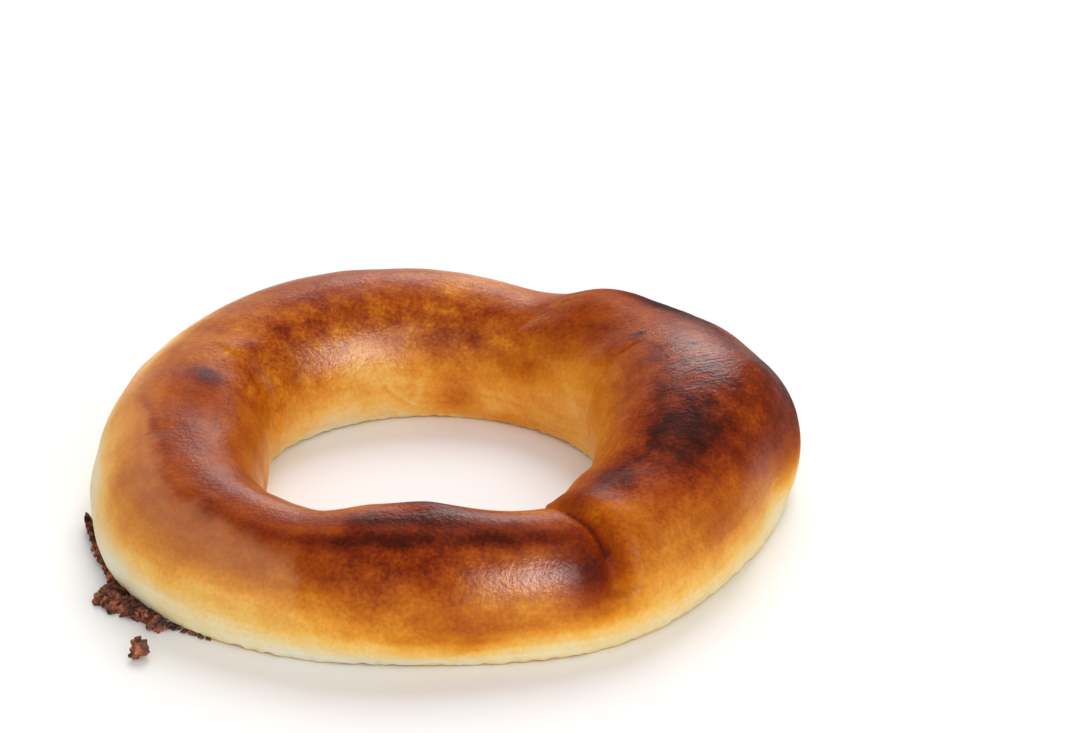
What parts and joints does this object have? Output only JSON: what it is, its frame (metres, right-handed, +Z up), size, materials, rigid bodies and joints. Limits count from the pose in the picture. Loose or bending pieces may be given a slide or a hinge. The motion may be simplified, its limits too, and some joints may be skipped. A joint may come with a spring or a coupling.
{
  "type": "filled bread ring",
  "caption": "Whole baked bread ring, a browned glossy rope of soft dough pressed together at its ends, with a crust of leaked dark filling at its foot.",
  "frame": {"origin": "under the middle of the whole object's box, on the surface that it rests on", "axes": "+Z up through the hole; -Y towards the side with the joint of the rope's two ends at its right; +X towards the thick end"},
  "size_m": [0.1656, 0.1562, 0.0339],
  "materials": {
    "crust": "glossy egg-washed bread crust, cream at the foot, golden on the sides and burnt brown on top",
    "baked_filling": "matt, flaky, baked-dry dark brown filling"
  },
  "bodies": {
    "root": {"bread_ring": "crust", "leaked_filling": "baked_filling"}
  },
  "joints": []
}
